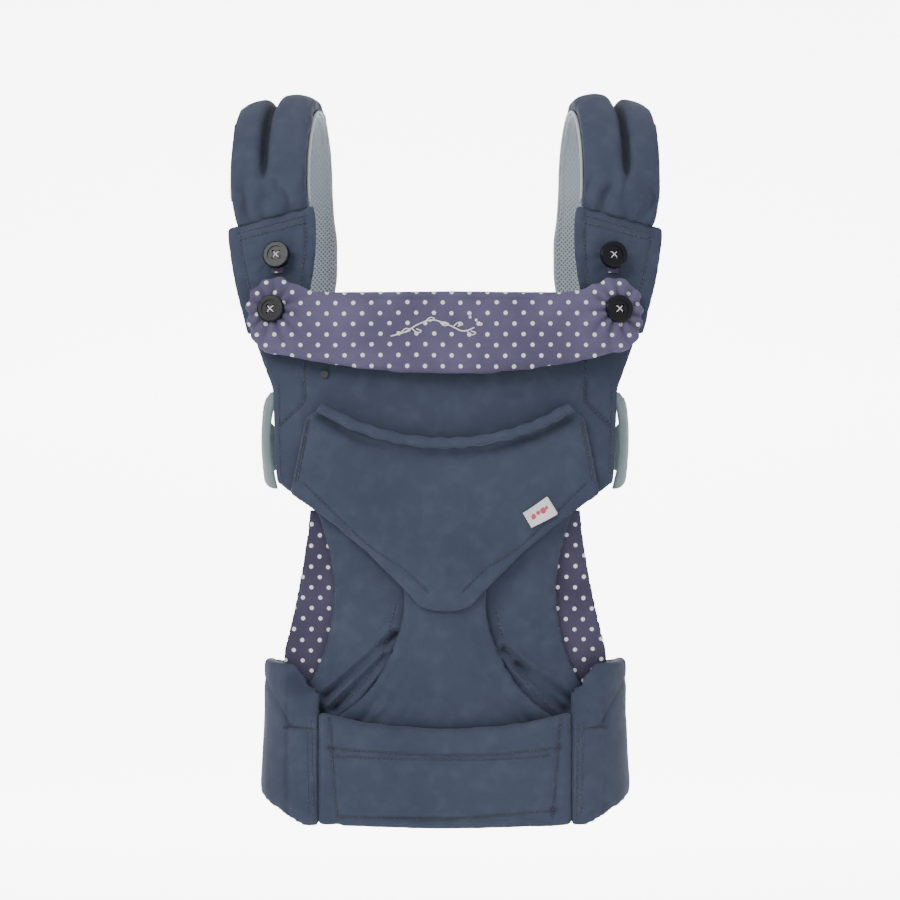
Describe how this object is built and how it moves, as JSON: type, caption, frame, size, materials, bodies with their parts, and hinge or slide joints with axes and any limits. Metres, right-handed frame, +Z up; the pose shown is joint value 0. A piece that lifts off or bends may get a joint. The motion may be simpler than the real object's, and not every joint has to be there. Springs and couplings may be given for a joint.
{
  "type": "soft baby carrier",
  "caption": "Soft structured baby carrier: panel with seat, fold-down dotted head support with buttons, padded shoulder straps, padded waist belt and side-release buckles.",
  "frame": {"origin": "inside the wearer's waist, on the level of the waist belt's lower edge and in the middle of the carrier", "axes": "+Z up along the panel, the panel faces -Y, +X to the right as seen from the front"},
  "size_m": [0.436, 0.2363, 0.737],
  "materials": {
    "twill": "matt cotton twill, slate navy",
    "dotted_cotton": "matt printed cotton, purple-blue with small white dots",
    "foam": "soft padding",
    "air_mesh": "open 3-D mesh, grey",
    "wing_cloth": "matt grey-teal lining cloth",
    "webbing": "flat woven polyester",
    "button_resin": "polished resin, black",
    "buckle_plastic": "moulded acetal, black",
    "label": "white woven tape",
    "snap_plastic": "moulded press stud"
  },
  "bodies": {
    "carrier": {"belt_cover": "twill", "belt_foam": "foam", "button_loop_left": "dotted_cotton", "button_loop_right": "dotted_cotton", "chest_panel": "twill", "hood_snap": "snap_plastic", "leg_lining_left": "dotted_cotton", "leg_lining_right": "dotted_cotton", "pocket_piping": "twill", "seat_panel": "twill", "shield_panel": "twill", "side_label": "label", "side_socket_left": "buckle_plastic", "side_socket_right": "buckle_plastic", "strap_base_left": "twill", "strap_base_right": "twill", "thigh_panel_left": "twill", "thigh_panel_right": "twill", "underarm_wing_left": "wing_cloth", "underarm_wing_right": "wing_cloth"},
    "head_support": {"head_support_cover": "dotted_cotton", "head_support_foam": "foam"},
    "chest_plug": {"chest_plug": "buckle_plastic", "chest_webbing_left": "webbing"},
    "belt_plug": {"belt_plug": "buckle_plastic", "belt_webbing_right": "webbing"},
    "belt_prong_upper": {"belt_prong_upper": "buckle_plastic"},
    "belt_prong_lower": {"belt_prong_lower": "buckle_plastic"},
    "belt_wing_left": {"belt_wing_left": "twill", "belt_webbing_left": "webbing", "belt_socket": "buckle_plastic"},
    "belt_wing_right": {"belt_wing_right": "twill", "belt_ladder": "buckle_plastic"},
    "chest_slider_left": {"chest_slider_left": "buckle_plastic"},
    "chest_slider_right": {"chest_slider_right": "buckle_plastic", "chest_webbing_right": "webbing", "chest_socket": "buckle_plastic"},
    "upper_button_left": {"upper_button_left": "button_resin"},
    "lower_button_left": {"lower_button_left": "button_resin"},
    "strap_left": {"strap_cover_left": "twill", "strap_foam_left": "foam", "strap_mesh_left": "air_mesh", "strap_ladder_left": "buckle_plastic", "chest_rail_left": "webbing"},
    "side_plug_left": {"side_plug_left": "buckle_plastic", "side_webbing_left": "webbing"},
    "side_prong_inner_left": {"side_prong_inner_left": "buckle_plastic"},
    "side_prong_outer_left": {"side_prong_outer_left": "buckle_plastic"},
    "upper_button_right": {"upper_button_right": "button_resin"},
    "lower_button_right": {"lower_button_right": "button_resin"},
    "strap_right": {"strap_cover_right": "twill", "strap_foam_right": "foam", "strap_mesh_right": "air_mesh", "strap_ladder_right": "buckle_plastic", "chest_rail_right": "webbing"},
    "side_plug_right": {"side_plug_right": "buckle_plastic", "side_webbing_right": "webbing"},
    "side_prong_inner_right": {"side_prong_inner_right": "buckle_plastic"},
    "side_prong_outer_right": {"side_prong_outer_right": "buckle_plastic"}
  },
  "joints": [
    {"name": "head_support_fold", "type": "hinge", "parent": "carrier", "child": "head_support", "pos_m": [0, -0.112, 0.556], "axis": [-1, 0, 0], "range_deg": [0, 165]},
    {"name": "upper_button_left_turn", "type": "hinge", "parent": "carrier", "child": "upper_button_left", "pos_m": [-0.17, -0.092, 0.578], "axis": [-0.2092, -0.9638, 0.1653], "range_deg": [-20, 20]},
    {"name": "upper_button_right_turn", "type": "hinge", "parent": "carrier", "child": "upper_button_right", "pos_m": [0.17, -0.092, 0.578], "axis": [0.2092, -0.9638, 0.1653], "range_deg": [-20, 20]},
    {"name": "lower_button_left_turn", "type": "hinge", "parent": "head_support", "child": "lower_button_left", "pos_m": [-0.174, -0.115, 0.522], "axis": [-0.2131, -0.9686, 0.128], "range_deg": [-20, 20]},
    {"name": "lower_button_right_turn", "type": "hinge", "parent": "head_support", "child": "lower_button_right", "pos_m": [0.174, -0.115, 0.522], "axis": [0.2131, -0.9686, 0.128], "range_deg": [-20, 20]},
    {"name": "strap_left_swing", "type": "hinge", "parent": "carrier", "child": "strap_left", "pos_m": [-0.176, -0.07612, 0.609], "axis": [0.9925, -0.1219, 0], "range_deg": [0, 30]},
    {"name": "side_plug_left_slide", "type": "slide", "parent": "strap_left", "child": "side_plug_left", "axis": [0.0862, 0.7018, 0.7071], "range_m": [-0.02625, 0]},
    {"name": "side_prong_inner_left_squeeze", "type": "hinge", "parent": "side_plug_left", "child": "side_prong_inner_left", "pos_m": [-0.14138, 0.02041, 0.42691], "axis": [0.0862, 0.7018, -0.7071], "range_deg": [0, 5], "stiffness_Nm_per_rad": 0.3},
    {"name": "side_prong_outer_left_squeeze", "type": "hinge", "parent": "side_plug_left", "child": "side_prong_outer_left", "pos_m": [-0.16639, 0.02348, 0.42691], "axis": [-0.0862, -0.7018, 0.7071], "range_deg": [0, 5], "stiffness_Nm_per_rad": 0.3},
    {"name": "chest_slider_left_slide", "type": "slide", "parent": "strap_left", "child": "chest_slider_left", "axis": [0, 0, 1], "range_m": [0, 0.06]},
    {"name": "strap_right_swing", "type": "hinge", "parent": "carrier", "child": "strap_right", "pos_m": [0.176, -0.07612, 0.609], "axis": [0.9925, 0.1219, 0], "range_deg": [0, 30]},
    {"name": "side_plug_right_slide", "type": "slide", "parent": "strap_right", "child": "side_plug_right", "axis": [-0.0862, 0.7018, 0.7071], "range_m": [-0.02625, 0]},
    {"name": "side_prong_inner_right_squeeze", "type": "hinge", "parent": "side_plug_right", "child": "side_prong_inner_right", "pos_m": [0.14138, 0.02041, 0.42691], "axis": [0.0862, -0.7018, 0.7071], "range_deg": [0, 5], "stiffness_Nm_per_rad": 0.3},
    {"name": "side_prong_outer_right_squeeze", "type": "hinge", "parent": "side_plug_right", "child": "side_prong_outer_right", "pos_m": [0.16639, 0.02348, 0.42691], "axis": [-0.0862, 0.7018, -0.7071], "range_deg": [0, 5], "stiffness_Nm_per_rad": 0.3},
    {"name": "chest_slider_right_slide", "type": "slide", "parent": "strap_right", "child": "chest_slider_right", "axis": [0, 0, 1], "range_m": [0, 0.06]},
    {"name": "chest_plug_slide", "type": "slide", "parent": "chest_slider_left", "child": "chest_plug", "axis": [-1, 0, 0], "range_m": [-0.024, 0]},
    {"name": "belt_wing_left_open", "type": "hinge", "parent": "carrier", "child": "belt_wing_left", "pos_m": [-0.127, -0.11213, 0.08], "axis": [0, 0, 1], "range_deg": [0, 70]},
    {"name": "belt_wing_right_open", "type": "hinge", "parent": "carrier", "child": "belt_wing_right", "pos_m": [0.127, -0.11213, 0.08], "axis": [0, 0, -1], "range_deg": [0, 70]},
    {"name": "belt_plug_slide", "type": "slide", "parent": "belt_wing_right", "child": "belt_plug", "axis": [1, 0, 0], "range_m": [-0.0321, 0]},
    {"name": "belt_prong_upper_squeeze", "type": "hinge", "parent": "belt_plug", "child": "belt_prong_upper", "pos_m": [0.0187, 0.08502, 0.12306], "axis": [0, -1, 0], "range_deg": [0, 5], "stiffness_Nm_per_rad": 0.5},
    {"name": "belt_prong_lower_squeeze", "type": "hinge", "parent": "belt_plug", "child": "belt_prong_lower", "pos_m": [0.0187, 0.08502, 0.08694], "axis": [0, 1, 0], "range_deg": [0, 5], "stiffness_Nm_per_rad": 0.5}
  ],
  "couplings": [
    {"joint": "side_prong_outer_left_squeeze", "follows": "side_prong_inner_left_squeeze", "ratio": 1},
    {"joint": "side_prong_outer_right_squeeze", "follows": "side_prong_inner_right_squeeze", "ratio": 1},
    {"joint": "belt_prong_lower_squeeze", "follows": "belt_prong_upper_squeeze", "ratio": 1}
  ]
}
